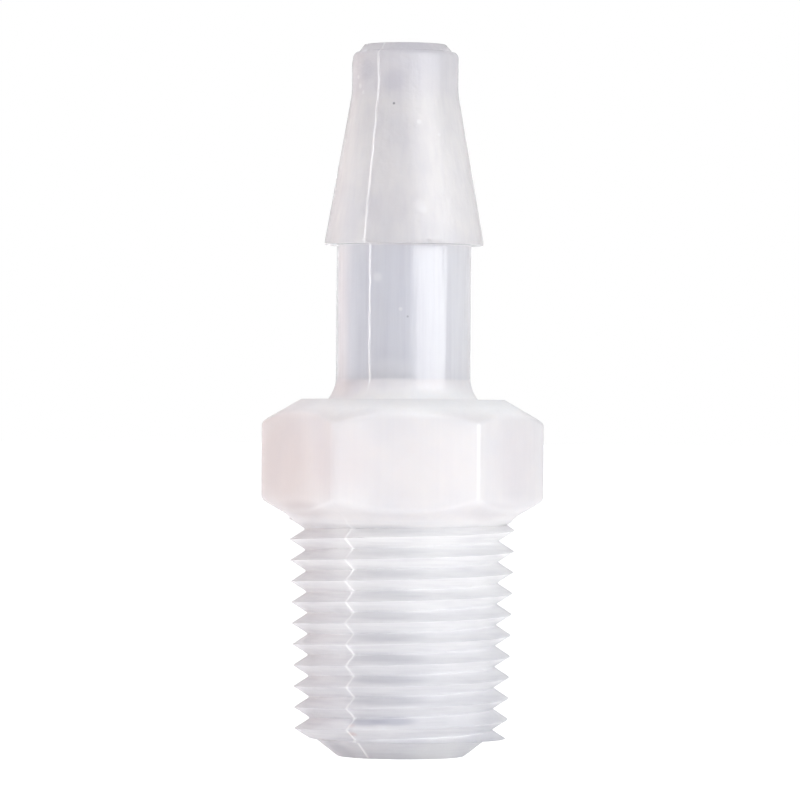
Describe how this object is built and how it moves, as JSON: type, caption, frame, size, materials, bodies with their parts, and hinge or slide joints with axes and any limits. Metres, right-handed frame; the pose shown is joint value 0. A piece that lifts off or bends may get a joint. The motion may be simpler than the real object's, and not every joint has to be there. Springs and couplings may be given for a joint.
{
  "type": "straight tube connector",
  "caption": "Straight moulded plastic connector: a hose barb and smooth neck, a wrench hex and a tapered male pipe thread in line, with a stepped bore right through.",
  "frame": {"origin": "centre of the thread's end face, on the axis, the lowest point of the part as it stands", "axes": "+Z along the axis from the thread to the hose barb, X through two opposite corners of the hex, Y square to two of its flats"},
  "size_m": [0.0126, 0.0112, 0.0319],
  "materials": {
    "natural_polypropylene": "natural uncoloured polypropylene as moulded, milky and slightly see-through, satin gloss"
  },
  "bodies": {
    "root": {"connector_body": "natural_polypropylene"}
  },
  "joints": []
}
